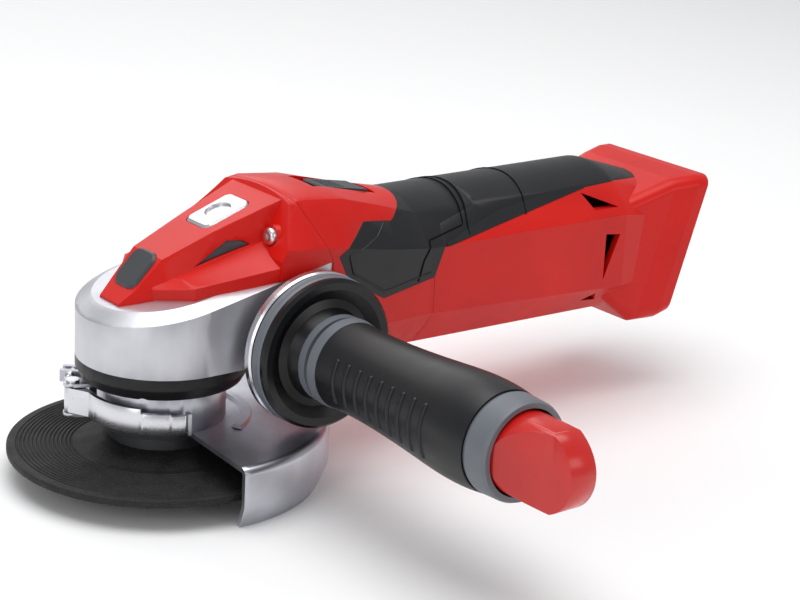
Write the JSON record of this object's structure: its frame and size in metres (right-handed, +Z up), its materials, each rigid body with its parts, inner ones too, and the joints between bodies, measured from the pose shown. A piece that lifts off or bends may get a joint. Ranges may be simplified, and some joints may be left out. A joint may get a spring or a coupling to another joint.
{
  "type": "angle grinder",
  "caption": "Cordless angle grinder without its battery: cast gear head, lever-clamped disc guard, grinding disc, red and black body, and a screw-in side handle with a thumb knob.",
  "frame": {"origin": "centre of the output spindle's free end, below the lock nut", "axes": "+Z up the spindle towards the gear head's cover, +X back along the motor and the main handle, -Y along the side handle"},
  "size_m": [0.3111, 0.2501, 0.1074],
  "materials": {
    "steel": "ground steel",
    "dark_steel": "blackened steel",
    "bright_steel": "bright zinc plate",
    "bright_metal": "satin metal",
    "guard_steel": "zinc plated sheet",
    "cast_aluminium": "blasted casting",
    "black_casting": "satin black paint",
    "abrasive": "resin bonded grit with moulded grooves",
    "red_shell": "satin moulded nylon",
    "grey_plastic": "dark grey moulded plastic",
    "grey_ring": "mid grey moulded plastic",
    "black_plastic": "black moulded plastic",
    "soft_grip": "soft black overmould",
    "copper": "enamelled copper",
    "brass": "brass",
    "carbon": "pressed carbon",
    "lead_cover": "insulated leads"
  },
  "bodies": {
    "tool": {"gear_housing": "cast_aluminium", "bearing_cover": "black_casting", "bearing_cover_screws": "steel", "dust_seal": "steel", "spindle_bearing_outer": "steel", "spindle_needle_bearing": "steel", "head_cover": "red_shell", "cover_pad": "grey_plastic", "vent_inserts": "grey_plastic", "head_screws": "bright_steel", "front_bearing_outer": "steel", "rear_bearing_outer": "steel", "motor_can": "guard_steel", "magnets": "dark_steel", "brush_plate": "black_plastic", "brush_holders": "brass", "carbon_brushes": "carbon", "motor_housing": "red_shell", "front_grip": "soft_grip", "rear_grip": "soft_grip", "handle_shell_left": "red_shell", "handle_shell_right": "red_shell", "shell_screws": "dark_steel", "battery_shoe": "black_plastic", "terminal_blades": "brass", "switch_module": "black_plastic", "leads": "lead_cover", "lock_spring": "steel"},
    "spindle": {"spindle": "steel", "inner_flange": "dark_steel", "grinding_disc": "abrasive", "disc_bush": "steel", "lock_nut": "dark_steel", "spindle_bearing_inner": "steel", "bevel_gear": "steel"},
    "armature": {"armature_shaft": "steel", "pinion": "steel", "front_bearing_inner": "steel", "rear_bearing_inner": "steel", "fan": "black_plastic", "armature_core": "dark_steel", "armature_windings": "copper", "commutator": "copper"},
    "guard": {"guard_shell": "guard_steel", "guard_collar": "guard_steel", "clamp_screw": "bright_steel", "lever_pin": "bright_steel"},
    "lever": {"clamp_lever": "bright_metal"},
    "lock": {"lock_button": "bright_metal", "lock_pin": "steel"},
    "switch": {"switch_slider": "grey_plastic", "switch_rod": "grey_plastic"},
    "side_handle": {"handle_stud": "steel", "handle_core": "black_plastic", "flange_ring": "bright_metal", "neck_rings": "grey_ring", "handle_grip": "soft_grip", "end_ring": "grey_ring"},
    "knob": {"end_knob": "red_shell"}
  },
  "joints": [
    {"name": "spindle_spin", "type": "hinge", "parent": "tool", "child": "spindle", "pos_m": [0, 0, 0.03], "axis": [0, 0, 1], "continuous": true},
    {"name": "armature_spin", "type": "hinge", "parent": "tool", "child": "armature", "pos_m": [0.05, 0, 0.061], "axis": [1, 0, 0], "continuous": true},
    {"name": "guard_swivel", "type": "hinge", "parent": "tool", "child": "guard", "pos_m": [0, 0, 0.027], "axis": [0, 0, 1], "range_deg": [-60, 45]},
    {"name": "clamp_lever_open", "type": "hinge", "parent": "guard", "child": "lever", "pos_m": [-0.02991, 0.01395, 0.025], "axis": [0, 0, -1], "range_deg": [0, 100]},
    {"name": "lock_button_press", "type": "slide", "parent": "tool", "child": "lock", "axis": [0, 0, -1], "range_m": [0, 0.0035], "stiffness_N_per_m": 600, "springref_m": -0.003, "deforming": ["lock_spring"]},
    {"name": "switch_slide", "type": "slide", "parent": "tool", "child": "switch", "axis": [-0.9869, 0, 0.161], "range_m": [0, 0.006]},
    {"name": "side_handle_out", "type": "slide", "parent": "tool", "child": "side_handle", "axis": [0, -1, 0], "range_m": [0, 0.016]},
    {"name": "end_knob_turn", "type": "hinge", "parent": "side_handle", "child": "knob", "pos_m": [0.04, -0.16, 0.05], "axis": [0, -1, 0], "continuous": true}
  ],
  "couplings": [
    {"joint": "armature_spin", "follows": "spindle_spin", "ratio": 3}
  ]
}
